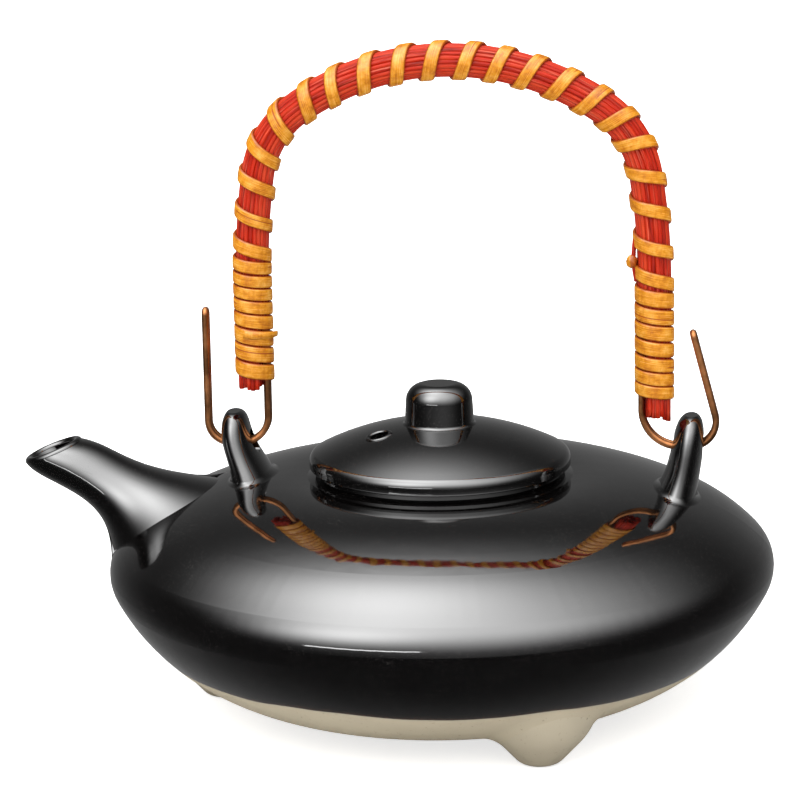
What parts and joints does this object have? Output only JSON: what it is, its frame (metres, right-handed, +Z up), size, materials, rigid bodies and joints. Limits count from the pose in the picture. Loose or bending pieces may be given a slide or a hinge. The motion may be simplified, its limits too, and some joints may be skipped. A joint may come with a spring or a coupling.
{
  "type": "teapot",
  "caption": "Wide low black-glazed teapot on stub feet, with a loose knobbed lid and a rattan-bound cane bail that swings on wire hooks in two ears.",
  "frame": {"origin": "on the pot's turning axis, in the plane that its feet stand on", "axes": "+Z up, the spout toward -X, the swinging bail's pivot line along X"},
  "size_m": [0.1814, 0.16, 0.1615],
  "materials": {
    "black_glaze": "mirror gloss",
    "bare_clay": "matt",
    "red_cane": "satin",
    "rattan": "satin",
    "copper_wire": "satin"
  },
  "bodies": {
    "pot": {"pot_body": "black_glaze", "pot_dome": "black_glaze", "spout": "black_glaze", "ear_front": "black_glaze", "ear_rear": "black_glaze", "foot_spout": "bare_clay", "foot_near": "bare_clay", "foot_far": "bare_clay"},
    "lid": {"lid": "black_glaze", "lid_flange": "black_glaze", "lid_knob": "black_glaze"},
    "handle": {"cane_core": "red_cane", "cane_1": "red_cane", "cane_2": "red_cane", "cane_3": "red_cane", "cane_4": "red_cane", "cane_5": "red_cane", "cane_6": "red_cane", "binding_left": "rattan", "spiral": "rattan", "binding_right": "rattan", "hook_left": "copper_wire", "hook_right": "copper_wire"}
  },
  "joints": [
    {"name": "handle_swing", "type": "hinge", "parent": "pot", "child": "handle", "pos_m": [0, 0, 0.0642], "axis": [1, 0, 0], "range_deg": [-97, 97]},
    {"name": "lid_lift", "type": "slide", "parent": "pot", "child": "lid", "axis": [0, 0, 1], "range_m": [0, 0.06]}
  ]
}
